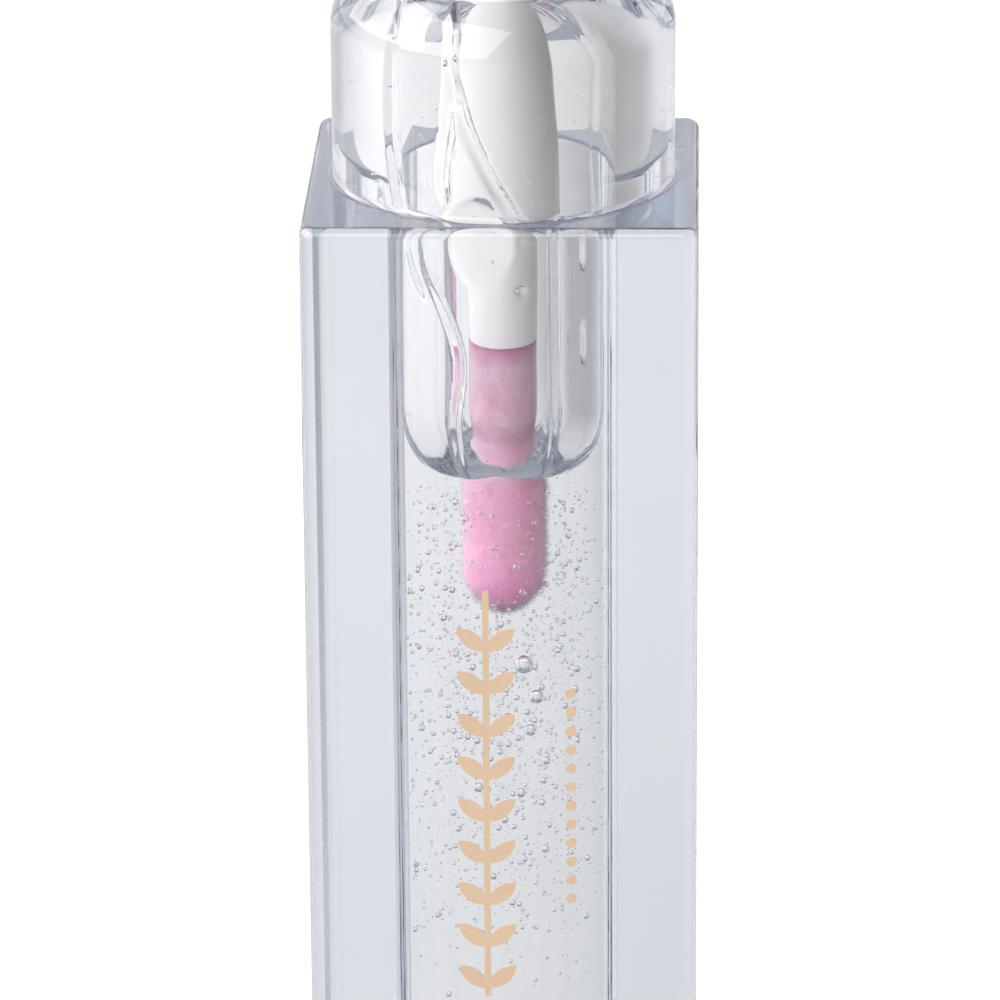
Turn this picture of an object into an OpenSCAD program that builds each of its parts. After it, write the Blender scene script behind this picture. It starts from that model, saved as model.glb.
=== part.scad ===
// Lip gloss tube: a square thick-walled bottle with a round collar and threaded neck,
// a wiper in the neck, and a cap that carries the applicator wand.
//
// Frame: origin at the centre of the base, +Z up, printed front facing -Y, millimetres.
// The applicator is modelled partly drawn out, raised by wand_lift from its closed place.

/* [Bottle] */
// Width and depth of the square body
body_w = 18; // [17.6:0.1:20]
// Height of the body from base to shoulder
body_h = 54; // [48:1:70]
// Radius of the four upright corners
body_corner_r = 0.7; // [0.3:0.1:1.5]
// Diameter of the bore that holds the gloss
bore_d = 10.6; // [10:0.1:10.7]
// Thickness of plastic under the bore
base_thick = 5; // [3:0.5:7]
// Radius where the bore's floor meets its wall
bore_floor_r = 1.2; // [0.5:0.1:2]
// Diameter of the shallow recess under the base
base_recess_d = 13; // [8:0.5:14]
// Depth of the recess under the base
base_recess_depth = 0.4; // [0.2:0.1:0.8]

/* [Neck] */
// Diameter of the round collar on the shoulder
collar_d = 15.8; // [15.4:0.1:15.8]
// Height of the collar to the top of its rounding, which runs into the neck
collar_h = 10.1; // [9:0.1:11]
// Radius of the collar's rounded upper edge
collar_edge_r = 3; // [2.4:0.1:3.4]
// Radius of the fillet between collar and shoulder
collar_foot_r = 0.3; // [0.1:0.1:0.4]
// Diameter of the neck at the root of its thread
neck_d = 12.4; // [12.2:0.1:12.6]
// Height of the threaded neck above the collar
neck_h = 8.8; // [8.4:0.1:9.5]

/* [Thread] */
// Rise of the thread in one turn
thread_pitch = 2.6; // [2.4:0.1:2.8]
// How far the thread stands out of the neck
thread_depth = 0.6; // [0.4:0.05:0.65]
// Number of turns of thread on the neck and in the cap
thread_turns = 1.25; // [1:0.25:1.5]

/* [Wiper] */
// Diameter of the hole that wipes the stem
wiper_hole_d = 4.6; // [4.6:0.02:4.7]
// Thickness of the wiper's sleeve
wiper_wall = 0.7; // [0.5:0.1:0.9]
// Diameter of the wiper's flange on the neck's rim
wiper_flange_d = 12.2; // [11.5:0.1:12.4]
// Thickness of the wiper's flange
wiper_flange_h = 0.7; // [0.5:0.1:0.8]

/* [Applicator] */
// How far the applicator is raised from its closed place
wand_lift = 26.1; // [20:0.1:30]
// Diameter of the stem
stem_d = 4.5; // [4.4:0.05:4.5]
// Diameter of the flocked tip
tip_d = 4.4; // [4:0.1:4.4]
// Length of the flocked tip
tip_len = 13; // [10:0.5:16]
// Thickness of the flock on the tip's core
flock_thick = 0.4; // [0.3:0.05:0.5]
// Space left under the tip when the tube is closed
tip_gap = 2.5; // [1.5:0.5:4]

/* [Cap] */
// Height of the outer cap
cap_h = 36; // [32:1:45]
// Thickness of the outer cap's walls
cap_wall = 0.9; // [0.8:0.05:0.9]
// Thickness of the outer cap's top
cap_top = 1.6; // [1.2:0.1:2.5]
// Gap between the closed cap and the shoulder
cap_gap = 0.3; // [0.2:0.1:0.5]
// Outside diameter of the inner cap's skirt
inner_cap_d = 15.4; // [15.2:0.1:15.6]
// Thickness of the inner cap's square plate
inner_plate_h = 2; // [1.6:0.1:2.5]
// Thickness of the sealing liner
liner_h = 0.75; // [0.5:0.05:1]

/* [Gloss] */
// Height of the gloss surface above the base
gloss_level = 40.8; // [36:0.1:46]
// Thickness of the film left on the bore's wall above the gloss
film_thick = 0.35; // [0.2:0.05:0.5]
// Height of the top of that film above the base
film_top = 64; // [58:0.1:64.5]

/* [Front print] */
// Thickness of the ink
ink_thick = 0.05; // [0.03:0.01:0.1]
// Length of the leaf ornament
sprig_len = 20.2; // [12:0.2:22]
// Number of leaf pairs on the ornament
leaf_pairs = 9; // [5:1:10]
// Number of dots in the short row
dot_count = 12; // [5:1:15]

/* [Hidden] */

$fn = 96;
fit_gap = 0.02;            // between pieces pressed or moulded into each other
run_gap = 0.1;             // between pieces that turn or slide against each other
eps = 0.01;                // overshoot of a cutting tool past the face it opens

// Levels on the bottle
shoulder_z = body_h;
collar_top_z = shoulder_z + collar_h;
rim_z = collar_top_z + neck_h;
thread_start_z = collar_top_z + 2.6;

// Levels on the closed applicator; closed() and raised() place it
cap_bottom_z = shoulder_z + cap_gap;
skirt_bottom_z = collar_top_z + 0.5;
liner_z = rim_z + wiper_flange_h + 0.05;
ceiling_z = liner_z + liner_h + run_gap;
tip_bottom_z = base_thick + tip_gap;
stem_bottom_z = tip_bottom_z + tip_len;

// Inner cap
cavity_w = body_w - 2 * cap_wall;
thread_clear = 0.15;
inner_bore_d = neck_d + 2 * thread_depth + 2 * thread_clear;
head_flange_d = 9.4;
head_flange_h = 1.2;
head_plug_d = 6;
head_plug_h = 6;
boss_d = 9;
boss_h = 6;
rib_w = 1.2;

// Tip core's plug in the stem
core_plug_d = 2.6;
core_plug_h = 5;

// Thread section: width at its foot and at its crest
thread_foot_w = 1.3;
thread_crest_w = 0.7;
thread_steps = 40;         // flat steps in one turn

// Front print
ink_line_w = 0.3;
leaf_len = 1.75;
leaf_w = 0.75;
sprig_x = -0.7;
dots_x = 3.2;
dot_d = 0.5;
dot_step = 0.93;
print_mid_z = 26.6;

// ---- Shared shapes ----

// Square of width w with round corners of radius r, made of exact arcs
module rounded_square(w, r) {
    square([w - 2 * r, w], center = true);
    square([w, w - 2 * r], center = true);
    for (x = [-1, 1], y = [-1, 1])
        translate([x * (w / 2 - r), y * (w / 2 - r)])
            circle(r);
}

// Half outline of a rod of radius r from z = 0 to z = h with a bullet end at the bottom
module bullet_outline(r, h) {
    translate([0, r])
        square([r, h - r]);
    intersection() {
        translate([0, r])
            circle(r);
        square([r, r + eps]);
    }
}

// Flat ring or disc between two heights
module ring(d_out, d_in, z_low, z_high) {
    translate([0, 0, z_low])
        difference() {
            cylinder(d = d_out, h = z_high - z_low);
            if (d_in > 0)
                translate([0, 0, -eps])
                    cylinder(d = d_in, h = z_high - z_low + 2 * eps);
        }
}

// Corner points of the thread's section at one step of its helix, running from radius r_foot,
// which is buried in the wall, to radius r_crest
function thread_section(step, r_foot, r_crest) =
    let (
        angle = step * 360 / thread_steps,
        rise = thread_pitch * step / thread_steps,
        steps = thread_turns * thread_steps,
        fade = min(1, (0.4 + min(step, steps - step)) / 5),
        r_tip = r_foot + (r_crest - r_foot) * fade
    )
    [for (corner = [
            [r_foot, -thread_foot_w / 2], [r_tip, -thread_crest_w / 2],
            [r_tip, thread_crest_w / 2], [r_foot, thread_foot_w / 2]
        ])
        [corner[0] * cos(angle), corner[0] * sin(angle), rise + corner[1]]
    ];

// Right-hand helical ridge; it stands outwards where r_crest is larger, inwards where smaller
module thread_ridge(r_foot, r_crest) {
    steps = thread_turns * thread_steps;
    points = [for (step = [0:steps]) each thread_section(step, r_foot, r_crest)];
    sides = [
        for (step = [0:steps - 1], k = [0:3])
            let (a = 4 * step + k, b = 4 * step + (k + 1) % 4)
            [a, a + 4, b + 4, b]
    ];
    ends = [[0, 1, 2, 3], [4 * steps + 3, 4 * steps + 2, 4 * steps + 1, 4 * steps]];
    faces = concat(sides, ends);
    inwards = r_crest < r_foot;
    polyhedron(
        points,
        [for (face = faces) inwards ? face : [for (k = [len(face) - 1:-1:0]) face[k]]],
        convexity = 6
    );
}

// Places pieces of the applicator, which are drawn at their closed height
module raised() {
    translate([0, 0, wand_lift])
        children();
}

// Places a flat drawing on the bottle's front face, its y axis upright
module on_front() {
    translate([0, -body_w / 2, 0])
        rotate([90, 0, 0])
            linear_extrude(ink_thick)
                children();
}

// ---- Bottle and what stays in it ----

// Half outline of collar and neck, drawn from the shoulder up
module neck_outline() {
    r = collar_d / 2;
    translate([0, -1])
        square([r, collar_h - collar_edge_r + 1]);
    square([r - collar_edge_r, collar_h]);
    translate([r - collar_edge_r, collar_h - collar_edge_r])
        circle(collar_edge_r);
    square([neck_d / 2, collar_h + neck_h]);
    difference() {
        square([r + collar_foot_r, collar_foot_r]);
        translate([r + collar_foot_r, collar_foot_r])
            circle(collar_foot_r);
    }
}

// Half outline of the bore, with a rounded floor, grown by `grow`
module bore_outline(grow, top_z) {
    r = bore_d / 2 + grow;
    floor_z = base_thick - grow;
    translate([0, floor_z])
        square([r - bore_floor_r, top_z - floor_z]);
    translate([0, floor_z + bore_floor_r])
        square([r, top_z - floor_z - bore_floor_r]);
    translate([r - bore_floor_r, floor_z + bore_floor_r])
        circle(bore_floor_r);
}

module bottle() {
    color([0.87, 0.89, 0.93, 0.35])
    difference() {
        union() {
            linear_extrude(body_h)
                rounded_square(body_w, body_corner_r);
            translate([0, 0, shoulder_z])
                rotate_extrude()
                    neck_outline();
            translate([0, 0, thread_start_z])
                thread_ridge(neck_d / 2 - 0.15, neck_d / 2 + thread_depth);
        }
        rotate_extrude()
            bore_outline(0, rim_z + eps);
        translate([0, 0, -eps])
            cylinder(d = base_recess_d, h = base_recess_depth + eps);
    }
}

// Gloss in the bore, with the film it leaves on the wall above its surface
module gloss() {
    tip_z = tip_bottom_z + wand_lift;
    color([0.93, 0.92, 0.94, 0.4])
    difference() {
        rotate_extrude()
            bore_outline(-fit_gap, film_top);
        translate([0, 0, gloss_level])
            cylinder(d = bore_d - 2 * film_thick, h = film_top - gloss_level + eps);
        translate([0, 0, tip_z - run_gap])
            cylinder(d = tip_d + 2 * run_gap, h = gloss_level - tip_z + run_gap + eps);
    }
}

// One leaf, from its foot at the origin along +X
module leaf() {
    r = (leaf_len * leaf_len + leaf_w * leaf_w) / (4 * leaf_w);
    intersection_for (side = [-1, 1])
        translate([leaf_len / 2, side * (r - leaf_w / 2)])
            circle(r);
}

// Upright sprig of paired leaves beside a short row of dots
module front_print() {
    leaf_step = sprig_len / (leaf_pairs + 0.6);
    color([0.89, 0.76, 0.64])
    on_front() {
        translate([sprig_x, print_mid_z]) {
            square([ink_line_w, sprig_len], center = true);
            for (pair = [0:leaf_pairs - 1], side = [-1, 1])
                translate([0, (pair + 0.2) * leaf_step - sprig_len / 2])
                    rotate(90 - side * 50)
                        leaf();
        }
        for (dot = [0:dot_count - 1])
            translate([dots_x, print_mid_z + (dot - (dot_count - 1) / 2) * dot_step])
                circle(d = dot_d);
    }
}

// Sleeve pressed into the neck, with a flange on the rim and a funnel that wipes the stem
module wiper() {
    r_out = bore_d / 2 - fit_gap;
    r_in = r_out - wiper_wall;
    r_hole = wiper_hole_d / 2;
    lip_z = collar_top_z + 1.6;
    cone_z = lip_z + 2.4;
    color([0.95, 0.95, 0.94, 0.75])
    rotate_extrude()
        polygon([
            [r_hole, lip_z],
            [r_hole + wiper_wall, lip_z],
            [r_out, cone_z],
            [r_out, rim_z],
            [wiper_flange_d / 2, rim_z],
            [wiper_flange_d / 2, rim_z + wiper_flange_h],
            [r_in, rim_z + wiper_flange_h],
            [r_in, cone_z + wiper_wall / 2],
            [r_hole, lip_z + wiper_wall]
        ]);
}

// ---- Applicator ----

// Foam washer held in the inner cap, which seals on the wiper's flange
module liner() {
    color([0.96, 0.96, 0.94])
    raised()
        ring(wiper_flange_d - 0.4, stem_d + 4 * run_gap, liner_z, liner_z + liner_h);
}

// Rod with a flange and plug at its head and a socket for the tip's core at its foot
module stem() {
    plug_z = ceiling_z + head_flange_h;
    color([0.96, 0.95, 0.95])
    raised()
        difference() {
            union() {
                ring(stem_d, 0, stem_bottom_z, ceiling_z + eps);
                ring(head_flange_d, 0, ceiling_z, plug_z);
                ring(head_plug_d, 0, plug_z - eps, plug_z + head_plug_h);
            }
            ring(core_plug_d, 0, stem_bottom_z - eps, stem_bottom_z + core_plug_h);
        }
}

// Flexible core of the tip, plugged into the stem
module tip_core() {
    color([0.93, 0.72, 0.8])
    raised() {
        translate([0, 0, tip_bottom_z + flock_thick])
            rotate_extrude()
                bullet_outline(tip_d / 2 - flock_thick, tip_len - flock_thick);
        ring(core_plug_d - 2 * fit_gap, 0, stem_bottom_z - eps, stem_bottom_z + core_plug_h - 0.1);
    }
}

// Coat of short fibres on the core
module tip_flock() {
    core_r = tip_d / 2 - flock_thick;
    color([0.9, 0.66, 0.76])
    raised()
        translate([0, 0, tip_bottom_z])
            rotate_extrude()
                difference() {
                    bullet_outline(tip_d / 2, tip_len);
                    translate([0, flock_thick - fit_gap])
                        bullet_outline(core_r + fit_gap, tip_len);
                }
}

// Threaded cup that screws onto the neck and holds the stem's head
module inner_cap() {
    plate_z = ceiling_z + inner_plate_h;
    plug_z = ceiling_z + head_flange_h;
    color([0.97, 0.97, 0.96])
    raised() {
        difference() {
            union() {
                ring(inner_cap_d, 0, skirt_bottom_z, ceiling_z + eps);
                translate([0, 0, ceiling_z])
                    linear_extrude(inner_plate_h)
                        rounded_square(cavity_w - 2 * fit_gap, body_corner_r);
                ring(boss_d, 0, plate_z - eps, plate_z + boss_h);
                for (turn = [0:3])
                    rotate(90 * turn)
                        translate([0, -rib_w / 2, skirt_bottom_z])
                            cube([cavity_w / 2 - fit_gap, rib_w, ceiling_z - skirt_bottom_z]);
            }
            ring(inner_bore_d, 0, skirt_bottom_z - eps, ceiling_z);
            ring(head_flange_d + 2 * fit_gap, 0, ceiling_z - eps, plug_z + fit_gap);
            ring(head_plug_d + 2 * fit_gap, 0, plug_z, plug_z + head_plug_h + fit_gap);
        }
        translate([0, 0, thread_start_z - thread_pitch / 2])
            thread_ridge(inner_bore_d / 2 + 0.15, inner_bore_d / 2 - thread_depth);
    }
}

// Square shell with uniform walls, open below
module outer_cap() {
    color([0.82, 0.64, 0.52])
    raised()
        translate([0, 0, cap_bottom_z])
            difference() {
                linear_extrude(cap_h)
                    rounded_square(body_w, body_corner_r);
                translate([0, 0, -eps])
                    linear_extrude(cap_h - cap_top + eps)
                        rounded_square(cavity_w, body_corner_r);
            }
}

bottle();
gloss();
front_print();
wiper();
liner();
stem();
tip_core();
tip_flock();
inner_cap();
outer_cap();
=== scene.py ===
"""Looks of a lip gloss tube: square clear bottle, gloss with bubbles, wand with a flocked tip, plated cap.

Sizes are in millimetres unless they say otherwise, in the CAD frame: origin at the centre of the base,
+Z up, printed front facing -Y.
"""
import math
import random

import bmesh
import bpy
from mathutils import Matrix, Vector, noise


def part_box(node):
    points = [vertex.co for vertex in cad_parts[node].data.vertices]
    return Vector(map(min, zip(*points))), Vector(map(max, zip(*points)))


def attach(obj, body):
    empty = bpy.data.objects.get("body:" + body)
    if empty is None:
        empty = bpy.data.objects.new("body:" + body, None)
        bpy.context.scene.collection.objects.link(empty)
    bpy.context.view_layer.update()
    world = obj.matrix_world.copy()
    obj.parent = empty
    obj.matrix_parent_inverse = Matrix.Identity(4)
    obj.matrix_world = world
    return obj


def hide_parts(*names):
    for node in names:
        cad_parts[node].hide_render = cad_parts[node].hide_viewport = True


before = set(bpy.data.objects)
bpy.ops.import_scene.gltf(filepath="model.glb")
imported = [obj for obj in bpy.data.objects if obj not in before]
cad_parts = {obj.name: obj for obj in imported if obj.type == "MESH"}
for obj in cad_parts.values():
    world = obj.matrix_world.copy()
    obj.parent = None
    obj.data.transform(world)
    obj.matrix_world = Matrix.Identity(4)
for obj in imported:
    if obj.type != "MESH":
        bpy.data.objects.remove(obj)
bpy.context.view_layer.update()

MM = 0.001


# ---- Sizes, from the frame where it holds them ----

def node_box(name):
    """Lowest and highest corner of a CAD node, in millimetres."""
    low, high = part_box(name)
    return Vector(low) / MM, Vector(high) / MM


BOTTLE_HIGH = node_box("bottle")[1]
GLOSS_HIGH = node_box("gloss")[1]
WIPER_LOW, WIPER_HIGH = node_box("wiper")
STEM_LOW, STEM_HIGH = node_box("stem")
TIP_LOW, TIP_HIGH = node_box("tip_flock")
CAP_LOW, CAP_HIGH = node_box("outer_cap")
LINER_HIGH = node_box("liner")[1]

HALF_W = BOTTLE_HIGH.x
CORNER_R = 0.7
EDGE_R = 0.5
FOOT_EDGE_R = 0.4
SHOULDER_Z = 54.0
COLLAR_R = 7.9
COLLAR_EDGE_R = 3.0
COLLAR_EDGE_Z = 61.1                  # where the rounding of the collar's upper edge starts
COLLAR_FOOT_R = 0.3
NECK_R = 6.2
NECK_FOOT_R = 0.3
RIM_Z = BOTTLE_HIGH.z
BORE_R = 5.3
BORE_FLOOR_Z = 5.0
BORE_FLOOR_R = 1.2
RECESS_R = 6.5
RECESS_DEPTH = 0.4

THREAD_PITCH = 2.6
THREAD_DEPTH = 0.6
THREAD_TURNS = 1.25
THREAD_FOOT_W = 1.3
THREAD_CREST_W = 0.7
THREAD_START_Z = COLLAR_EDGE_Z + COLLAR_EDGE_R + 2.6

CONTACT_GAP = 0.02                    # between the gloss mesh and the bore's wall
GLOSS_LEVEL = 40.8
FILM_TOP_Z = GLOSS_HIGH.z
FILM = 0.14                           # thickness of the plain film on the wall

STEM_R = 2.25
TIP_R = TIP_HIGH.x
NAP_DEPTH = 0.12                      # from the tip's outer size in to the surface the fibres stand on
FIBRE_LEN = 0.42
FIBRE_COUNT = 15000
COAT = 0.33                           # thickness of the gloss on the wand
COAT_TOP_Z = 60.5

CAP_WALL = 0.9
CAP_ROOF = 1.6

PLASTIC_IOR = 1.57
GLOSS_IOR = 1.44
LAMP_SHARE = 0.86                     # of the lamps' light goes straight through each clear surface


# ---- Outlines for turned shapes ----
# An outline is a list of (radius, height, normal radius, normal height). It is travelled so that the
# outside of the material lies to its right.

def line(start, end, steps=1, first=False):
    """Points along a straight stretch, without its start unless first is set."""
    dr, dz = end[0] - start[0], end[1] - start[1]
    size = math.hypot(dr, dz)
    return [
        (start[0] + dr * k / steps, start[1] + dz * k / steps, dz / size, -dr / size)
        for k in range(0 if first else 1, steps + 1)
    ]


def arc(centre, radius, start, end, steps=8):
    """Points along an arc from angle start to angle end in degrees, without its start."""
    side = 1 if end > start else -1
    points = []
    for k in range(1, steps + 1):
        a = math.radians(start + (end - start) * k / steps)
        c, s = math.cos(a), math.sin(a)
        points.append((centre[0] + radius * c, centre[1] + radius * s, side * c, side * s))
    return points


def rounded_square(half, corner_r, side_steps=36, corner_steps=8):
    """One turn round a square with round corners: (x, y, normal x, normal y)."""
    flat = half - corner_r
    quarter = [(half, flat * (2 * k / side_steps - 1), 1.0, 0.0) for k in range(side_steps + 1)]
    for k in range(1, corner_steps):
        a = math.radians(90 * k / corner_steps)
        c, s = math.cos(a), math.sin(a)
        quarter.append((flat + corner_r * c, flat + corner_r * s, c, s))
    turn = []
    for _ in range(4):
        turn += quarter
        quarter = [(-y, x, -ny, nx) for x, y, nx, ny in quarter]
    return turn


SQUARE_ANGLES = [math.atan2(y, x) for x, y, _, _ in rounded_square(HALF_W, CORNER_R)]


def even_angles(count):
    """Angles of count points evenly round a circle."""
    return [2 * math.pi * k / count for k in range(count)]


# ---- Mesh building ----

class Shell:
    """One mesh made of closed rings of points, each with its exact normal, or None to work it out.

    A face's mark is 1 where plastic and gloss touch.
    """

    def __init__(self):
        self.points, self.normals, self.faces, self.marks = [], [], [], []

    def ring(self, points, normals=None):
        start = len(self.points)
        self.points += points
        self.normals += normals or [None] * len(points)
        return list(range(start, len(self.points)))

    def turned(self, point, angles, bulge=None):
        """A round ring from one outline point. bulge(angle, height) is added to the radius."""
        r, z, nr, nz = point
        radii = [r + (bulge(a, z) if bulge else 0.0) for a in angles]
        points = [(q * math.cos(a), q * math.sin(a), z) for q, a in zip(radii, angles)]
        if bulge:
            return self.ring(points)
        return self.ring(points, [(nr * math.cos(a), nr * math.sin(a), nz) for a in angles])

    def squared(self, half, corner_r, z, tilt=0.0):
        """A square ring at height z, its normals raised by tilt degrees above the horizontal."""
        c, s = math.cos(math.radians(tilt)), math.sin(math.radians(tilt))
        turn = rounded_square(half, corner_r)
        return self.ring([(x, y, z) for x, y, _, _ in turn], [(nx * c, ny * c, s) for _, _, nx, ny in turn])

    def rounded_edge(self, last, edge_r, z, tilts):
        """Joins last to the rings of the square's rounded edge, whose curve is centred on height z."""
        for tilt in tilts:
            t = math.radians(tilt)
            inset = edge_r * (1 - math.cos(t))
            new = self.squared(HALF_W - inset, CORNER_R - inset, z + edge_r * math.sin(t), tilt)
            self.bridge(last, new)
            last = new
        return last

    def bridge(self, low, high, mark=0):
        """Faces between two rings with the same number of points."""
        count = len(low)
        for k in range(count):
            n = (k + 1) % count
            self.faces.append((low[k], low[n], high[n], high[k]))
            self.marks.append(mark)

    def close(self, ring, point, normal, mark=0, starts=False):
        """Fans a ring to one point, at the start of the travel or at its end."""
        pole = self.ring([point], [normal])[0]
        count = len(ring)
        for k in range(count):
            n = (k + 1) % count
            self.faces.append((pole, ring[n], ring[k]) if starts else (ring[k], ring[n], pole))
            self.marks.append(mark)

    def sweep(self, outline, angles, mark=0, last=None, bulge=None):
        """Turns an outline, joined to the ring last."""
        for point in outline:
            new = self.turned(point, angles, bulge)
            if last:
                self.bridge(last, new, mark)
            last = new
        return last

    def build(self, name, material):
        """The finished object, in metres."""
        mesh = bpy.data.meshes.new(name)
        mesh.from_pydata([Vector(p) * MM for p in self.points], [], self.faces)
        mesh.materials.append(material)
        if any(self.marks):
            mesh.attributes.new("wet", "FLOAT", "FACE").data.foreach_set("value", self.marks)
        mesh.polygons.foreach_set("use_smooth", [True] * len(mesh.polygons))
        mesh.update()
        normals = [Vector(n).normalized() if n else v.normal for n, v in zip(self.normals, mesh.vertices)]
        mesh.normals_split_custom_set_from_vertices(normals)
        obj = bpy.data.objects.new(name, mesh)
        bpy.context.scene.collection.objects.link(obj)
        return obj


# ---- Materials ----

def material_nodes(name):
    """A new material, its node tree and its Principled node."""
    material = bpy.data.materials.new(name)
    material.use_nodes = True
    tree = material.node_tree
    return material, tree, tree.nodes["Principled BSDF"]


def noise_texture(tree, scale, detail=2.0, stretch=(1, 1, 1)):
    """Noise fixed to the piece. scale is in features per metre."""
    coords = tree.nodes.new("ShaderNodeTexCoord")
    mapping = tree.nodes.new("ShaderNodeMapping")
    mapping.inputs["Scale"].default_value = stretch
    texture = tree.nodes.new("ShaderNodeTexNoise")
    texture.inputs["Scale"].default_value = scale
    texture.inputs["Detail"].default_value = detail
    tree.links.new(coords.outputs["Object"], mapping.inputs["Vector"])
    tree.links.new(mapping.outputs["Vector"], texture.inputs["Vector"])
    return texture


def object_axes(tree):
    """The place on the piece, in metres, and its X, Y and Z."""
    coords = tree.nodes.new("ShaderNodeTexCoord")
    split = tree.nodes.new("ShaderNodeSeparateXYZ")
    tree.links.new(coords.outputs["Object"], split.inputs["Vector"])
    return coords.outputs["Object"], split.outputs


def mix_colours(tree, factor, first, second=None, blend="MIX"):
    """Mix node of two colours. A factor that is a number is set on its socket."""
    mix = tree.nodes.new("ShaderNodeMix")
    mix.data_type = "RGBA"
    mix.blend_type = blend
    if isinstance(factor, float):
        mix.inputs["Factor"].default_value = factor
    else:
        tree.links.new(factor, mix.inputs["Factor"])
    tree.links.new(first, mix.inputs["A"])
    if second:
        tree.links.new(second, mix.inputs["B"])
    return mix


def multiply(tree, first, second):
    node = tree.nodes.new("ShaderNodeMath")
    node.operation = "MULTIPLY"
    tree.links.new(first, node.inputs[0])
    tree.links.new(second, node.inputs[1])
    return node.outputs["Value"]


def add_bump(tree, shader, texture, height_mm):
    bump = tree.nodes.new("ShaderNodeBump")
    bump.inputs["Strength"].default_value = 1.0
    bump.inputs["Distance"].default_value = height_mm * MM
    tree.links.new(texture.outputs["Fac"], bump.inputs["Height"])
    tree.links.new(bump.outputs["Normal"], shader.inputs["Normal"])


def ramp_between(tree, factor, low, high, colours):
    """Colour ramp from low to high of a 0 to 1 factor, with evenly spread colours."""
    ramp = tree.nodes.new("ShaderNodeValToRGB")
    elements = ramp.color_ramp.elements
    while len(elements) < len(colours):
        elements.new(0.5)
    for k, colour in enumerate(colours):
        elements[k].position = low + (high - low) * k / (len(colours) - 1)
        elements[k].color = (*colour, 1)
    tree.links.new(factor, ramp.inputs["Fac"])
    return ramp.outputs["Color"]


def value_range(tree, value, start, end, low, high, curve="LINEAR"):
    """low up to start, high from end, and a change between."""
    node = tree.nodes.new("ShaderNodeMapRange")
    node.interpolation_type = curve
    for name, setting in (("From Min", start), ("From Max", end), ("To Min", low), ("To Max", high)):
        node.inputs[name].default_value = setting
    tree.links.new(value, node.inputs["Value"])
    return node.outputs["Result"]


def varied_roughness(tree, shader, texture, low, high):
    spread = value_range(tree, texture.outputs["Fac"], 0.0, 1.0, low, high)
    tree.links.new(spread, shader.inputs["Roughness"])


def clear_material(name, ior, wet_ior, loss, waviness):
    """Clear moulded plastic or liquid that takes off loss, in each colour, per metre.

    Where the gloss touches the bottle, wet_ior counts. It is the step from one to the other on the
    bottle's side, and 1 on the gloss's side, which then bends nothing more. Light from the lamps
    goes straight through to what is inside.
    """
    material, tree, shader = material_nodes(name)
    shader.inputs["Base Color"].default_value = (1, 1, 1, 1)
    shader.inputs["Transmission Weight"].default_value = 1.0
    shader.inputs["Roughness"].default_value = 0.0
    shader.inputs["IOR"].default_value = ior
    wet = tree.nodes.new("ShaderNodeAttribute")
    wet.attribute_name = "wet"
    tree.links.new(value_range(tree, wet.outputs["Fac"], 0.0, 1.0, ior, wet_ior), shader.inputs["IOR"])
    depth = tree.nodes.new("ShaderNodeVolumeAbsorption")
    density = 2 * max(loss)
    depth.inputs["Color"].default_value = (*[1 - part / density for part in loss], 1)
    depth.inputs["Density"].default_value = density
    output = tree.nodes["Material Output"]
    tree.links.new(depth.outputs["Volume"], output.inputs["Volume"])
    path = tree.nodes.new("ShaderNodeLightPath")
    let_through = tree.nodes.new("ShaderNodeBsdfTransparent")
    let_through.inputs["Color"].default_value = (LAMP_SHARE, LAMP_SHARE, LAMP_SHARE, 1)
    mix = tree.nodes.new("ShaderNodeMixShader")
    tree.links.new(path.outputs["Is Shadow Ray"], mix.inputs[0])
    tree.links.new(shader.outputs["BSDF"], mix.inputs[1])
    tree.links.new(let_through.outputs["BSDF"], mix.inputs[2])
    tree.links.new(mix.outputs["Shader"], output.inputs["Surface"])
    add_bump(tree, shader, noise_texture(tree, 160, 1.0, (1, 1, 0.35)), waviness)
    return material


def moulded_material(name, colour, roughness, grain_mm=0.004, grain_scale=1500, subsurface=0.0):
    """Opaque moulded plastic with a fine grain and faint mottling."""
    material, tree, shader = material_nodes(name)
    texture = noise_texture(tree, grain_scale, 3.0)
    dark = [c * 0.965 for c in colour]
    tone = ramp_between(tree, noise_texture(tree, 220).outputs["Fac"], 0.35, 0.65, [dark, colour])
    tree.links.new(tone, shader.inputs["Base Color"])
    varied_roughness(tree, shader, texture, roughness * 0.8, roughness * 1.2)
    add_bump(tree, shader, texture, grain_mm)
    if subsurface:
        shader.inputs["Subsurface Weight"].default_value = subsurface
        shader.inputs["Subsurface Scale"].default_value = 0.8 * MM
    return material


def plated_material(name, colour):
    """Vacuum-plated plastic: half metal and half tinted lacquer, with a soft orange-peel."""
    material, tree, shader = material_nodes(name)
    shader.inputs["Metallic"].default_value = 0.55
    shader.inputs["Coat Weight"].default_value = 0.4
    shader.inputs["Coat Roughness"].default_value = 0.08
    mottle = noise_texture(tree, 300, 2.0)
    warm = [c * 0.94 for c in colour]
    tone = ramp_between(tree, mottle.outputs["Fac"], 0.3, 0.7, [warm, colour])
    tree.links.new(tone, shader.inputs["Base Color"])
    varied_roughness(tree, shader, mottle, 0.2, 0.28)
    add_bump(tree, shader, noise_texture(tree, 700, 2.0), 0.004)
    return material


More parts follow.
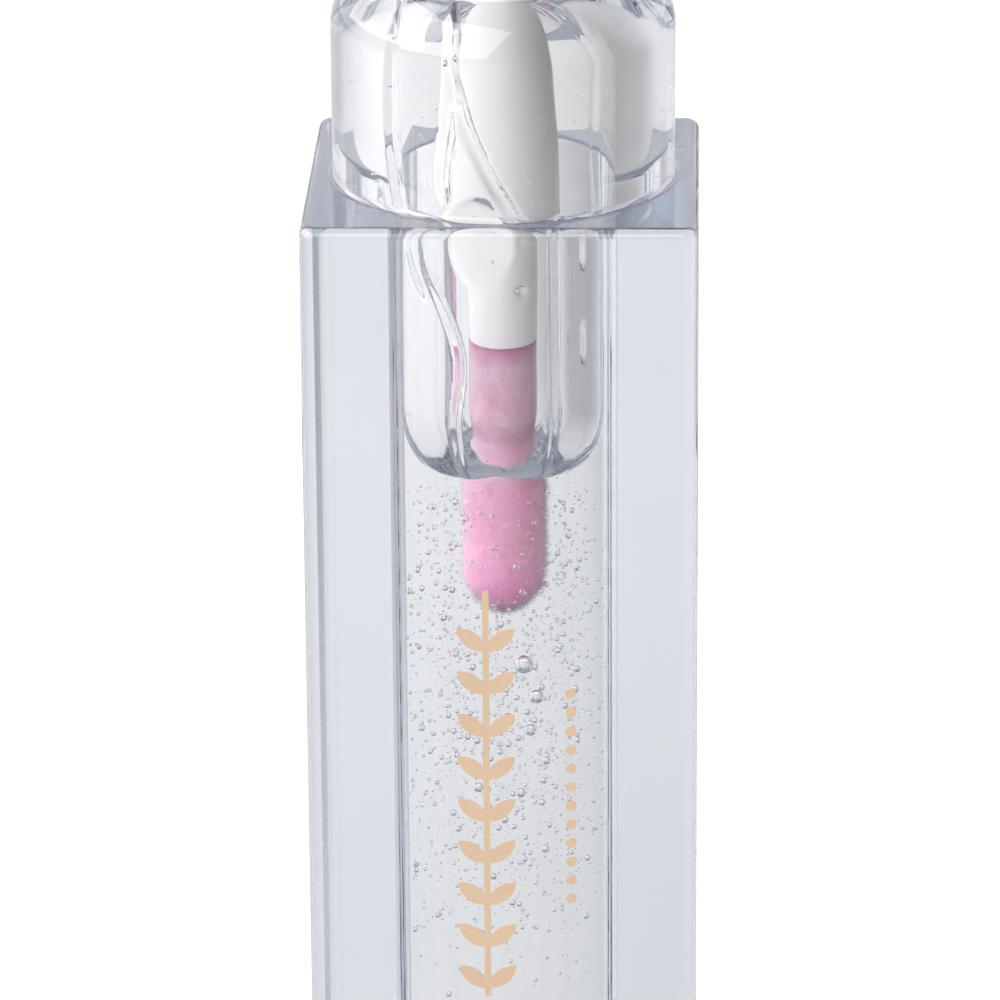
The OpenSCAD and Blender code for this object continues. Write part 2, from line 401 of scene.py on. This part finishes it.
def fibre_material(name):
    """Pink flock: more saturated where the coat starts, at its end and in patches."""
    material, tree, shader = material_nodes(name)
    _, axes = object_axes(tree)
    height = value_range(tree, axes["Z"], TIP_LOW.z * MM, TIP_HIGH.z * MM, 0.0, 1.0)
    tip_end, deep = (0.95, 0.20, 0.52), (1.0, 0.2, 0.5)
    wet_pale, dry_pale, patch = (0.97, 0.46, 0.66), (1.0, 0.62, 0.76), (0.93, 0.38, 0.56)
    along = tree.nodes.new("ShaderNodeValToRGB")
    stops = along.color_ramp.elements
    stops[0].position, stops[0].color = 0.0, (*tip_end, 1)
    stops[1].position, stops[1].color = 1.0, (*deep, 1)
    for position, colour in ((0.22, wet_pale), (0.48, wet_pale), (0.62, dry_pale), (0.92, dry_pale)):
        stops.new(position).color = (*colour, 1)
    tree.links.new(height, along.inputs["Fac"])
    weight = value_range(tree, noise_texture(tree, 420, 2.0).outputs["Fac"], 0.45, 0.7, 0.0, 0.6)
    mix = mix_colours(tree, weight, along.outputs["Color"])
    mix.inputs["B"].default_value = (*patch, 1)
    tree.links.new(mix.outputs["Result"], shader.inputs["Base Color"])
    shader.inputs["Roughness"].default_value = 0.8
    shader.inputs["Sheen Weight"].default_value = 0.3
    shader.inputs["Sheen Roughness"].default_value = 0.5
    shader.inputs["Subsurface Weight"].default_value = 0.85
    shader.inputs["Subsurface Scale"].default_value = 0.003
    shader.inputs["Subsurface Radius"].default_value = (1.0, 0.75, 0.85)
    return material


plastic = clear_material("bottle_clear", PLASTIC_IOR, PLASTIC_IOR / GLOSS_IOR, (7.2, 5.2, 2.4), 0.004)
gloss_clear = clear_material("gloss_clear", GLOSS_IOR, 1.0, (4.0, 3.5, 3.0), 0.01)
ink = moulded_material("ink_peach", (0.66, 0.475, 0.32), 0.6, 0.003, 4000)
wiper_soft = moulded_material("wiper_soft", (0.9, 0.9, 0.89), 0.4, subsurface=0.3)
liner_foam = moulded_material("liner_foam", (0.92, 0.92, 0.9), 0.8, 0.03, 2500)
stem_white = moulded_material("stem_white", (0.93, 0.92, 0.915), 0.18, 0.002, 900)
core_pink = moulded_material("tip_core_pink", (0.85, 0.4, 0.56), 0.5)
inner_white = moulded_material("inner_cap_white", (0.93, 0.93, 0.92), 0.45)
plated = plated_material("cap_plated", (0.86, 0.60, 0.46))
fibre = fibre_material("tip_fibre")


# ---- Bottle ----

def thread_bulge(angle, z):
    """How far the neck's thread stands out at an angle and height."""
    angle %= 2 * math.pi
    best = 0.0
    for turn in range(math.ceil(THREAD_TURNS) + 1):
        travel = angle / (2 * math.pi) + turn
        if travel > THREAD_TURNS:
            continue
        off = abs(z - THREAD_START_Z - THREAD_PITCH * travel)
        slope = (THREAD_FOOT_W / 2 - off) / ((THREAD_FOOT_W - THREAD_CREST_W) / 2)
        fade = min(1.0, min(travel, THREAD_TURNS - travel) * 8)
        level = max(0.0, min(1.0, slope))
        best = max(best, THREAD_DEPTH * fade * level * level * (3 - 2 * level))
    return best


def make_bottle():
    shell = Shell()
    angles = SQUARE_ANGLES
    # under the base: recess, then the foot it stands on
    outline = line((0.5, RECESS_DEPTH), (RECESS_R - 0.2, RECESS_DEPTH), first=True)
    outline += arc((RECESS_R - 0.2, RECESS_DEPTH - 0.2), 0.2, 90, 0, 4)
    outline += arc((RECESS_R + 0.15, 0.15), 0.15, 180, 270, 4)
    first = shell.turned(outline[0], angles)
    shell.close(first, (0, 0, RECESS_DEPTH), (0, 0, -1), starts=True)
    last = shell.sweep(outline[1:], angles, last=first)
    # square body
    last = shell.rounded_edge(last, FOOT_EDGE_R, FOOT_EDGE_R, range(-90, 1, 15))
    last = shell.rounded_edge(last, EDGE_R, SHOULDER_Z - EDGE_R, range(0, 91, 10))
    # collar
    outline = line((HALF_W, SHOULDER_Z), (COLLAR_R + COLLAR_FOOT_R, SHOULDER_Z))
    outline += arc((COLLAR_R + COLLAR_FOOT_R, SHOULDER_Z + COLLAR_FOOT_R), COLLAR_FOOT_R, 270, 180)
    outline += line((COLLAR_R, SHOULDER_Z + COLLAR_FOOT_R), (COLLAR_R, COLLAR_EDGE_Z), 4)
    edge_centre = COLLAR_R - COLLAR_EDGE_R
    foot_centre = NECK_R + NECK_FOOT_R
    rise = math.sqrt((COLLAR_EDGE_R + NECK_FOOT_R) ** 2 - (foot_centre - edge_centre) ** 2)
    turn = math.degrees(math.atan2(rise, foot_centre - edge_centre))
    neck_z = COLLAR_EDGE_Z + rise
    outline += arc((edge_centre, COLLAR_EDGE_Z), COLLAR_EDGE_R, 0, turn, 20)
    outline += arc((foot_centre, neck_z), NECK_FOOT_R, 180 + turn, 180)
    last = shell.sweep(outline, angles, last=last)
    # threaded neck
    thread_top = THREAD_START_Z + THREAD_PITCH * THREAD_TURNS + 1
    outline = line((NECK_R, neck_z), (NECK_R, thread_top), 64)
    last = shell.sweep(outline, angles, last=last, bulge=thread_bulge)
    # rim, then down the bore to its floor
    outline = line((NECK_R, thread_top), (NECK_R, RIM_Z - 0.3))
    outline += arc((NECK_R - 0.3, RIM_Z - 0.3), 0.3, 0, 90)
    outline += line((NECK_R - 0.3, RIM_Z), (BORE_R + 0.2, RIM_Z))
    outline += arc((BORE_R + 0.2, RIM_Z - 0.2), 0.2, 90, 180)
    outline += line((BORE_R, RIM_Z - 0.2), (BORE_R, FILM_TOP_Z))
    last = shell.sweep(outline, angles, last=last)
    outline = line((BORE_R, FILM_TOP_Z), (BORE_R, BORE_FLOOR_Z + BORE_FLOOR_R))
    outline += arc((BORE_R - BORE_FLOOR_R, BORE_FLOOR_Z + BORE_FLOOR_R), BORE_FLOOR_R, 0, -90, 10)
    outline += line((BORE_R - BORE_FLOOR_R, BORE_FLOOR_Z), (0.5, BORE_FLOOR_Z))
    last = shell.sweep(outline, angles, mark=1, last=last)
    shell.close(last, (0, 0, BORE_FLOOR_Z), (0, 0, 1), mark=1)
    return shell.build("bottle_shell", plastic)


# ---- Gloss ----

def between(value, low, high):
    """0 at low, 1 at high, with smooth ends."""
    t = max(0.0, min(1.0, (value - low) / (high - low)))
    return t * t * (3 - 2 * t)


def path_angle(path, z):
    """Angle in degrees of a run of gloss at height z. path lists (height, angle) downwards."""
    if z >= path[0][0]:
        return path[0][1]

    def slope(k):
        if k in (0, len(path) - 1):
            return 0.0
        return (path[k + 1][1] - path[k - 1][1]) / (path[k + 1][0] - path[k - 1][0])

    for k, ((z0, a0), (z1, a1)) in enumerate(zip(path, path[1:])):
        if z >= z1:
            step = z1 - z0
            t = (z - z0) / step
            eased = a0 + (a1 - a0) * t * t * (3 - 2 * t)
            return eased + step * t * (1 - t) * (slope(k) * (1 - t) - slope(k + 1) * t)
    return path[-1][1]


# Runs of gloss down the bore's wall: their path, half width and height. The front is at -90 degrees.
RUNS = [
    ([(62.5, 217), (57, 216), (52.6, 223.5), (51.2, 226.5), (49.3, 239), (47.7, 247), (46.4, 249),
      (44.7, 246.5), (43, 243.5), (41.5, 242)], 0.24, 0.2),
    ([(63, 248), (58.2, 247), (55.6, 243.5), (53.6, 245)], 0.3, 0.25),
    ([(60.8, 250), (58.6, 252.5), (55.8, 264), (53.4, 277), (52, 282)], 0.36, 0.3),
    ([(55, 210), (53.4, 210.6), (51.9, 213), (50.9, 218), (49.2, 229)], 0.17, 0.2),
    ([(54, 297.5), (43, 298)], 0.16, 0.1),
    ([(62, 20), (55, 26), (48, 18), (42, 20)], 0.5, 0.22),
]
# Drops on the wall: angle, height, half width, half height and thickness
DROPS = [
    (260.5, 52.6, 1.6, 2.1, 0.75),
    (281, 50.3, 0.3, 0.3, 0.25),
    (317, 52.0, 0.16, 1.1, 0.26),
    (317, 47.6, 0.16, 1.2, 0.26),
]


def film_at(angle, z):
    """Thickness of the gloss that clings to the wall."""
    degrees = math.degrees(angle) % 360
    place = Vector((math.cos(angle) * 0.8, math.sin(angle) * 0.8, z * 0.16))
    thick = FILM * (1 + 0.35 * noise.noise(place))
    for path, half_width, height in RUNS:
        top, low = path[0][0], path[-1][0]
        ends = between(z, top, top - 1.6) * between(z, low, low + 1.6)
        if not ends:
            continue
        off = (degrees - path_angle(path, z) + 180) % 360 - 180
        lean = math.radians(path_angle(path, z + 0.05) - path_angle(path, z - 0.05)) * BORE_R / 0.1
        across = math.radians(off) * BORE_R / half_width / math.hypot(1, lean)
        thick += height * max(0.0, ends - across * across)
    for drop_angle, drop_z, half_width, half_height, height in DROPS:
        off = (degrees - drop_angle + 180) % 360 - 180
        across = math.radians(off) * BORE_R / half_width
        up = (z - drop_z) / half_height
        thick += height * max(0.0, 1 - across * across - up * up)
    return max(0.02, thick) * between(z, FILM_TOP_Z, FILM_TOP_Z - 1.0)


def free_surface_rings(shell, angles, top):
    """From the film's top down the wall, through the trough and up to the wand, to the axis."""
    wall_r = BORE_R - CONTACT_GAP
    wall_bend, wall_climb = 1.75, 3.3
    wand_bend, wand_climb = 0.75, 1.9
    bend_z = GLOSS_LEVEL + wall_climb
    last, steps = top, 150
    for k in range(1, steps + 1):
        z = FILM_TOP_Z + (bend_z - FILM_TOP_Z) * k / steps
        new = shell.turned((wall_r, z, -1, 0), angles, lambda a, h: -film_at(a, h))
        shell.bridge(last, new)
        last = new
    bend_r = [wall_r - film_at(a, bend_z) for a in angles]
    trough_r = sum(bend_r) / len(bend_r) - wall_bend

    def ring(radius_at, z_at):
        points = []
        for k, a in enumerate(angles):
            r = radius_at(k)
            x, y = r * math.cos(a), r * math.sin(a)
            ripple = 0.1 * noise.noise(Vector((x, y, 3.0)))
            ripple += 0.03 * noise.noise(Vector((3 * x, 3 * y, 9.0)))
            points.append((x, y, z_at(k) + ripple))
        return shell.ring(points)

    for tilt in range(6, 91, 6):
        c, s = math.cos(math.radians(tilt)), math.sin(math.radians(tilt))
        new = ring(lambda k: trough_r + (bend_r[k] - trough_r) * c, lambda k: bend_z - wall_climb * s)
        shell.bridge(last, new)
        last = new
    wand_r = TIP_R - 0.1
    centre_r = wand_r + wand_bend
    for tilt in range(0, 91, 6):
        c, s = math.cos(math.radians(tilt)), math.sin(math.radians(tilt))
        new = ring(lambda k: centre_r - wand_bend * s, lambda k: GLOSS_LEVEL + wand_climb * (1 - c))
        shell.bridge(last, new)
        last = new
    for r, z in ((wand_r - 0.2, GLOSS_LEVEL + wand_climb - 0.3), (wand_r - 0.4, GLOSS_LEVEL)):
        new = ring(lambda k, r=r: r, lambda k, z=z: z)
        shell.bridge(last, new)
        last = new
    shell.close(last, (0, 0, GLOSS_LEVEL), None)


def unit_ball(level):
    """Points and faces of a unit sphere made of triangles."""
    bm = bmesh.new()
    bmesh.ops.create_icosphere(bm, subdivisions=level, radius=1.0)
    points = [v.co.copy() for v in bm.verts]
    faces = [[v.index for v in f.verts] for f in bm.faces]
    bm.free()
    return points, faces


BALLS = {level: unit_ball(level) for level in (2, 3)}


def add_bubble(shell, centre, radius):
    """A round hollow in the gloss: its faces look inwards."""
    level = 3 if radius > 0.3 else 2
    points, faces = BALLS[level]
    start = len(shell.points)
    shell.points += [tuple(Vector(centre) + radius * p) for p in points]
    shell.normals += [tuple(-p) for p in points]
    for face in faces:
        shell.faces.append(tuple(start + k for k in reversed(face)))
        shell.marks.append(0)


def bubble_places():
    """Bubbles in the gloss as (centre, radius): a few large ones, many small ones, most near the top."""
    rng = random.Random(7)
    placed = []

    def clear_of_others(centre, radius):
        x, y, z = centre
        if math.hypot(x, y) < TIP_R + 0.4 + radius and z > TIP_LOW.z - radius - 0.1:
            return False
        return all((Vector(centre) - Vector(c)).length > radius + r + 0.02 for c, r in placed)

    large = [
        (1.0, -2.8, 31.6, 0.47), (1.6, -2.4, 29.9, 0.36), (0.2, -3.0, 28.9, 0.34), (1.3, -1.6, 28.0, 0.31),
        (-0.3, -2.2, 26.0, 0.26), (-1.3, -2.0, 25.2, 0.27), (0.8, -2.6, 25.1, 0.25), (2.1, -1.0, 26.3, 0.22),
        (2.0, -2.4, 22.2, 0.2), (3.6, -1.2, 31.0, 0.2), (3.5, -1.6, 30.1, 0.2), (-3.0, -1.5, 33.6, 0.2),
    ]
    for x, y, z, radius in large:
        placed.append(((x, y, z), radius))
    for count, low_r, high_r in ((150, 0.11, 0.19), (620, 0.065, 0.11), (1500, 0.025, 0.065)):
        made = 0
        while made < count:
            radius = rng.uniform(low_r, high_r)
            reach = BORE_R - CONTACT_GAP - 0.08 - radius
            r = reach * math.sqrt(rng.random())
            a = rng.uniform(0, 2 * math.pi)
            z = GLOSS_LEVEL - 0.6 - radius - rng.betavariate(1.25, 2.0) * 26
            centre = (r * math.cos(a), r * math.sin(a), z)
            if clear_of_others(centre, radius):
                placed.append((centre, radius))
                made += 1
    made = 0
    while made < 70:
        a, z = rng.uniform(0, 2 * math.pi), rng.uniform(GLOSS_LEVEL + 3, FILM_TOP_Z - 1)
        thick = film_at(a, z)
        radius = min(0.11, 0.42 * thick) * rng.uniform(0.6, 1.0)
        if radius < 0.035:
            continue
        r = BORE_R - CONTACT_GAP - thick / 2
        placed.append(((r * math.cos(a), r * math.sin(a), z), radius))
        made += 1
    return placed


def make_gloss():
    shell = Shell()
    angles = even_angles(256)
    side_r = BORE_R - CONTACT_GAP
    floor_z = BORE_FLOOR_Z + CONTACT_GAP
    outline = line((0.5, floor_z), (side_r - BORE_FLOOR_R, floor_z), first=True)
    outline += arc((side_r - BORE_FLOOR_R, floor_z + BORE_FLOOR_R), BORE_FLOOR_R, -90, 0)
    outline += line((side_r, floor_z + BORE_FLOOR_R), (side_r, FILM_TOP_Z), 4)
    first = shell.turned(outline[0], angles)
    shell.close(first, (0, 0, floor_z), (0, 0, -1), mark=1, starts=True)
    top = shell.sweep(outline[1:], angles, mark=1, last=first)
    free_surface_rings(shell, angles, top)
    for centre, radius in bubble_places():
        add_bubble(shell, centre, radius)
    return shell.build("gloss_fill", gloss_clear)


# ---- Wiper, wand and cap ----

def make_wiper():
    shell = Shell()
    hole_r, wall, out_r = 2.3, 0.7, BORE_R - CONTACT_GAP
    lip_z, flange_z = WIPER_LOW.z, WIPER_HIGH.z
    cone_z = lip_z + 2.4
    corners = [
        (hole_r, lip_z + wall), (hole_r, lip_z + 0.15), (hole_r + 0.15, lip_z), (hole_r + wall - 0.15, lip_z),
        (hole_r + wall, lip_z + 0.12), (out_r, cone_z), (out_r, RIM_Z), (WIPER_HIGH.x - 0.15, RIM_Z),
        (WIPER_HIGH.x, RIM_Z + 0.15), (WIPER_HIGH.x, flange_z - 0.2), (WIPER_HIGH.x - 0.2, flange_z),
        (out_r - wall + 0.2, flange_z), (out_r - wall, flange_z - 0.2), (out_r - wall, cone_z + wall / 2),
    ]
    angles = even_angles(128)
    for start, end in zip(corners, corners[1:] + corners[:1]):
        a, b = line(start, end, first=True)
        shell.bridge(shell.turned(a, angles), shell.turned(b, angles))
    return shell.build("neck_wiper", wiper_soft)


def make_stem():
    shell = Shell()
    angles = even_angles(128)
    head_r, plug_r = STEM_HIGH.x, 3.0
    flange_z = LINER_HIGH.z + 0.1
    plug_z = flange_z + 1.2
    outline = line((0.3, STEM_LOW.z), (STEM_R - 0.1, STEM_LOW.z), first=True)
    outline += arc((STEM_R - 0.1, STEM_LOW.z + 0.1), 0.1, -90, 0, 4)
    outline += line((STEM_R, STEM_LOW.z + 0.1), (STEM_R, flange_z - 0.3))
    outline += arc((STEM_R + 0.3, flange_z - 0.3), 0.3, 180, 90)
    outline += line((STEM_R + 0.3, flange_z), (head_r - 0.15, flange_z))
    outline += arc((head_r - 0.15, flange_z + 0.15), 0.15, -90, 0, 4)
    outline += arc((head_r - 0.15, plug_z - 0.15), 0.15, 0, 90, 4)
    outline += line((head_r - 0.15, plug_z), (plug_r + 0.2, plug_z))
    outline += arc((plug_r + 0.2, plug_z + 0.2), 0.2, 270, 180, 4)
    outline += line((plug_r, plug_z + 0.2), (plug_r, STEM_HIGH.z - 0.3))
    outline += arc((plug_r - 0.3, STEM_HIGH.z - 0.3), 0.3, 0, 90, 4)
    outline += line((plug_r - 0.3, STEM_HIGH.z), (0.3, STEM_HIGH.z))
    first = shell.turned(outline[0], angles)
    shell.close(first, (0, 0, STEM_LOW.z), (0, 0, -1), starts=True)
    last = shell.sweep(outline[1:], angles, last=first)
    shell.close(last, (0, 0, STEM_HIGH.z), (0, 0, 1))
    return shell.build("wand_stem", stem_white)


def plain_ring(shell, radius, z, angles):
    """A round ring whose normals are worked out from its faces."""
    return shell.ring([(radius * math.cos(a), radius * math.sin(a), z) for a in angles])


def tip_point(travel, angle, lift=0.0):
    """Point and normal on the tip's coat at a distance along its outline, from its end upwards."""
    r, end_z = TIP_R - NAP_DEPTH, TIP_LOW.z + NAP_DEPTH
    bend = r * math.pi / 2
    if travel < bend:
        nr, nz = math.sin(travel / r), -math.cos(travel / r)
        reach, z = r * nr, end_z + r * (1 + nz)
    else:
        nr, nz = 1.0, 0.0
        reach, z = r, end_z + r + travel - bend
    normal = Vector((nr * math.cos(angle), nr * math.sin(angle), nz))
    return Vector((reach * math.cos(angle), reach * math.sin(angle), z)) + lift * normal, normal


def make_tip():
    """The flocked coat: a napped surface with short fibres standing on it."""
    rng = random.Random(11)
    shell = Shell()
    r = TIP_R - NAP_DEPTH
    length = r * math.pi / 2 + (TIP_HIGH.z - TIP_LOW.z - NAP_DEPTH - r)
    angles = even_angles(96)

    def nap(travel, angle):
        p, _ = tip_point(travel, angle)
        return 0.05 * noise.noise(p * 3.0) + 0.03 * noise.noise(p * 9.0)

    rings = 110
    last = None
    for k in range(1, rings + 1):
        travel = length * k / rings
        new = shell.ring([tuple(tip_point(travel, a, nap(travel, a))[0]) for a in angles])
        if last is None:
            shell.close(new, tuple(tip_point(0, 0)[0]), None, starts=True)
        else:
            shell.bridge(last, new)
        last = new
    top = plain_ring(shell, STEM_R * 0.8, TIP_HIGH.z, angles)
    shell.bridge(last, top)
    shell.close(top, (0, 0, TIP_HIGH.z), None)
    furthest = length * 0.995
    for _ in range(FIBRE_COUNT):
        if rng.random() < 0.15:
            travel = furthest * math.sqrt(rng.random())
        else:
            travel = rng.uniform(0.1, furthest)
        root, normal = tip_point(travel, rng.uniform(0, 2 * math.pi))
        lean = Vector((rng.gauss(0, 0.45), rng.gauss(0, 0.45), rng.gauss(0.1, 0.45)))
        way = (normal + lean).normalized()
        side = way.orthogonal().normalized()
        side.rotate(Matrix.Rotation(rng.uniform(0, 2 * math.pi), 3, way))
        other = way.cross(side)
        width = rng.uniform(0.006, 0.011)
        tip = root + way * FIBRE_LEN * rng.uniform(0.6, 1.1)
        corners = [root + width * (math.cos(q) * side + math.sin(q) * other) for q in (0, 2.094, 4.189)]
        start = len(shell.points)
        shell.points += [tuple(c) for c in corners] + [tuple(tip)]
        shell.normals += [tuple(normal)] * 4
        for f in ((0, 1, 3), (1, 2, 3), (2, 0, 3), (0, 2, 1)):
            shell.faces.append(tuple(start + q for q in f))
            shell.marks.append(0)
    return shell.build("flocked_tip", fibre)


def make_wand_coat():
    """Gloss that clings to the lower stem and to the tip above the gloss's surface."""
    shell = Shell()
    angles = even_angles(96)
    wand_r = max(STEM_R, TIP_R)
    low_z, top_z = GLOSS_LEVEL + 0.6, COAT_TOP_Z + 0.05

    def thickness(angle, z):
        thick = COAT * (1 + 0.3 * noise.noise(Vector((math.cos(angle), math.sin(angle), z * 0.25))))
        return thick * between(z, low_z, low_z + 1.8) * between(z, COAT_TOP_Z, COAT_TOP_Z - 7.0)

    first = plain_ring(shell, 0.9 * wand_r, low_z, angles)
    shell.close(first, (0, 0, low_z), None, starts=True)
    outline = line((wand_r, low_z), (wand_r, COAT_TOP_Z), 110)
    last = shell.sweep(outline, angles, last=first, bulge=thickness)
    top = plain_ring(shell, 0.9 * wand_r, top_z, angles)
    shell.bridge(last, top)
    shell.close(top, (0, 0, top_z), None)
    return shell.build("wand_coat", gloss_clear)


def make_cap():
    shell = Shell()
    low, high = CAP_LOW.z, CAP_HIGH.z
    inner_half = HALF_W - CAP_WALL
    ceiling = high - CAP_ROOF
    rings = [
        (inner_half - 0.4, 0.3, ceiling, -90), (inner_half, CORNER_R, ceiling - 0.4, -180),
        (inner_half, CORNER_R, low + 0.15, -180), (inner_half + 0.15, CORNER_R, low, -90),
        (HALF_W - 0.2, CORNER_R - 0.2, low, -90), (HALF_W, CORNER_R, low + 0.2, 0),
    ]
    last = None
    for half, corner_r, z, tilt in rings:
        new = shell.squared(half, corner_r, z, tilt)
        if last is None:
            shell.close(new, (0, 0, ceiling), (0, 0, -1), starts=True)
        else:
            shell.bridge(last, new)
        last = new
    last = shell.rounded_edge(last, EDGE_R, high - EDGE_R, range(0, 91, 15))
    shell.close(last, (0, 0, high), (0, 0, 1))
    return shell.build("cap_shell", plated)


# ---- Pieces on their bodies ----

def place(piece, body, slot, *nodes):
    """Puts a piece on its body and hides the CAD nodes it stands for. slot is not used."""
    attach(piece, body)
    if nodes:
        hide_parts(*nodes)


def dress(node, material):
    """A CAD node that stays gets its finished material."""
    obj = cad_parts[node]
    obj.data.materials.clear()
    obj.data.materials.append(material)


place(make_bottle(), "bottle", "bottle_plastic", "bottle")
place(make_gloss(), "bottle", "gloss_liquid", "gloss")
place(make_wiper(), "bottle", "wiper_plastic", "wiper")
place(make_stem(), "applicator", "stem_plastic", "stem")
place(make_tip(), "applicator", "tip_fibre", "tip_flock")
place(make_wand_coat(), "applicator", "gloss_liquid")
place(make_cap(), "applicator", "outer_cap_plated", "outer_cap")
dress("front_print", ink)
dress("liner", liner_foam)
dress("tip_core", core_pink)
dress("inner_cap", inner_white)


# ---- Floor, light and camera ----

def make_floor():
    """Pale paper, plain white where it is seen directly.

    What is seen through the tube is darker, with painted shade: the light painted as dimming to the right and
    in front, and most of all a painted contact shadow under the tube.
    """
    material, tree, shader = material_nodes("floor_pale")
    grain = noise_texture(tree, 40, 2.0)
    tone = ramp_between(tree, grain.outputs["Fac"], 0.3, 0.7, [(0.57, 0.57, 0.575), (0.59, 0.59, 0.592)])
    direct = ramp_between(tree, grain.outputs["Fac"], 0.3, 0.7, [(0.82, 0.82, 0.823), (0.84, 0.84, 0.842)])
    place_on, axes = object_axes(tree)
    # Painted shade: the floor's light painted as dimming to the right and towards the front.
    across = value_range(tree, axes["X"], 0.0, 0.14, 1.0, 0.66, "SMOOTHSTEP")
    depth = value_range(tree, axes["Y"], 0.0, 0.14, 0.87, 1.0, "SMOOTHSTEP")
    away = tree.nodes.new("ShaderNodeVectorMath")
    away.operation = "LENGTH"
    tree.links.new(place_on, away.inputs[0])
    # Painted contact shadow: darker close under the tube.
    under = value_range(tree, away.outputs["Value"], 0.008, 0.02, 0.6, 1.0, "SMOOTHSTEP")
    painted_shade = multiply(tree, multiply(tree, across, depth), under)
    shade = mix_colours(tree, 1.0, tone, painted_shade, "MULTIPLY")
    path = tree.nodes.new("ShaderNodeLightPath")
    mix = mix_colours(tree, path.outputs["Is Camera Ray"], shade.outputs["Result"], direct)
    tree.links.new(mix.outputs["Result"], shader.inputs["Base Color"])
    shader.inputs["Roughness"].default_value = 0.9
    shader.inputs["Specular IOR Level"].default_value = 0.0
    mesh = bpy.data.meshes.new("floor")
    half = 4.0
    corners = [(-half, -half, 0), (half, -half, 0), (half, half, 0), (-half, half, 0)]
    mesh.from_pydata(corners, [], [(0, 1, 2, 3)])
    mesh.materials.append(material)
    floor = bpy.data.objects.new("floor", mesh)
    floor.location.z = -0.00002
    bpy.context.scene.collection.objects.link(floor)


def make_world():
    """Soft light all round, brightest behind and to the left."""
    world = bpy.data.worlds.new("studio")
    bpy.context.scene.world = world
    world.use_nodes = True
    tree = world.node_tree
    background = tree.nodes["Background"]
    coords = tree.nodes.new("ShaderNodeTexCoord")
    facing = tree.nodes.new("ShaderNodeVectorMath")
    facing.operation = "DOT_PRODUCT"
    facing.inputs[1].default_value = (-0.45, 0.85, 0.1)
    tree.links.new(coords.outputs["Generated"], facing.inputs[0])
    level = value_range(tree, facing.outputs["Value"], -0.3, 0.85, 0.2, 1.2, "SMOOTHSTEP")
    tree.links.new(level, background.inputs["Strength"])
    background.inputs["Color"].default_value = (1.0, 0.998, 1.01, 1)


def make_light(name, place_at, width, height, energy):
    """Soft area light aimed at the middle of the tube, in metres and watts.

    It isn't seen through what is clear.
    """
    light = bpy.data.lights.new(name, "AREA")
    light.shape = "RECTANGLE"
    light.size, light.size_y = width, height
    light.energy = energy
    obj = bpy.data.objects.new(name, light)
    obj.location = place_at
    obj.visible_transmission = False
    aim = Vector((0, 0, 0.05)) - obj.location
    obj.rotation_euler = aim.to_track_quat("-Z", "Y").to_euler()
    bpy.context.scene.collection.objects.link(obj)


def make_camera():
    """Close view of the shoulder from a little to the right, looking down on it, in metres."""
    azimuth, elevation, roll = math.radians(1.85), math.radians(20.0), math.radians(0.4)
    distance = 0.3092
    target = Vector((-0.00028, 0, 0.03787))
    level = math.cos(elevation)
    back = Vector((math.sin(azimuth) * level, -math.cos(azimuth) * level, math.sin(elevation)))
    right = Vector((0, 0, 1)).cross(back).normalized()
    up = back.cross(right)
    turned_right = math.cos(roll) * right - math.sin(roll) * up
    turned_up = math.sin(roll) * right + math.cos(roll) * up
    data = bpy.data.cameras.new("camera")
    data.sensor_width = 36.0
    data.lens = 237.3
    data.clip_start = 0.01
    camera = bpy.data.objects.new("camera", data)
    place_at = target + distance * back
    axes = Matrix((turned_right, turned_up, back)).transposed()
    camera.matrix_world = Matrix.Translation(place_at) @ axes.to_4x4()
    bpy.context.scene.collection.objects.link(camera)
    bpy.context.scene.camera = camera


make_floor()
make_world()
make_light("softbox_left", (-0.44, 0.0, 0.36), 0.85, 0.52, 4.2)
make_light("softbox_front", (-0.58, -0.72, 0.64), 1.4, 1.2, 13.8)
make_camera()

scene = bpy.context.scene
scene.view_settings.view_transform = "Standard"
scene.cycles.max_bounces = 32
scene.cycles.transmission_bounces = 32
scene.cycles.glossy_bounces = 12
scene.cycles.transparent_max_bounces = 24
scene.cycles.diffuse_bounces = 12
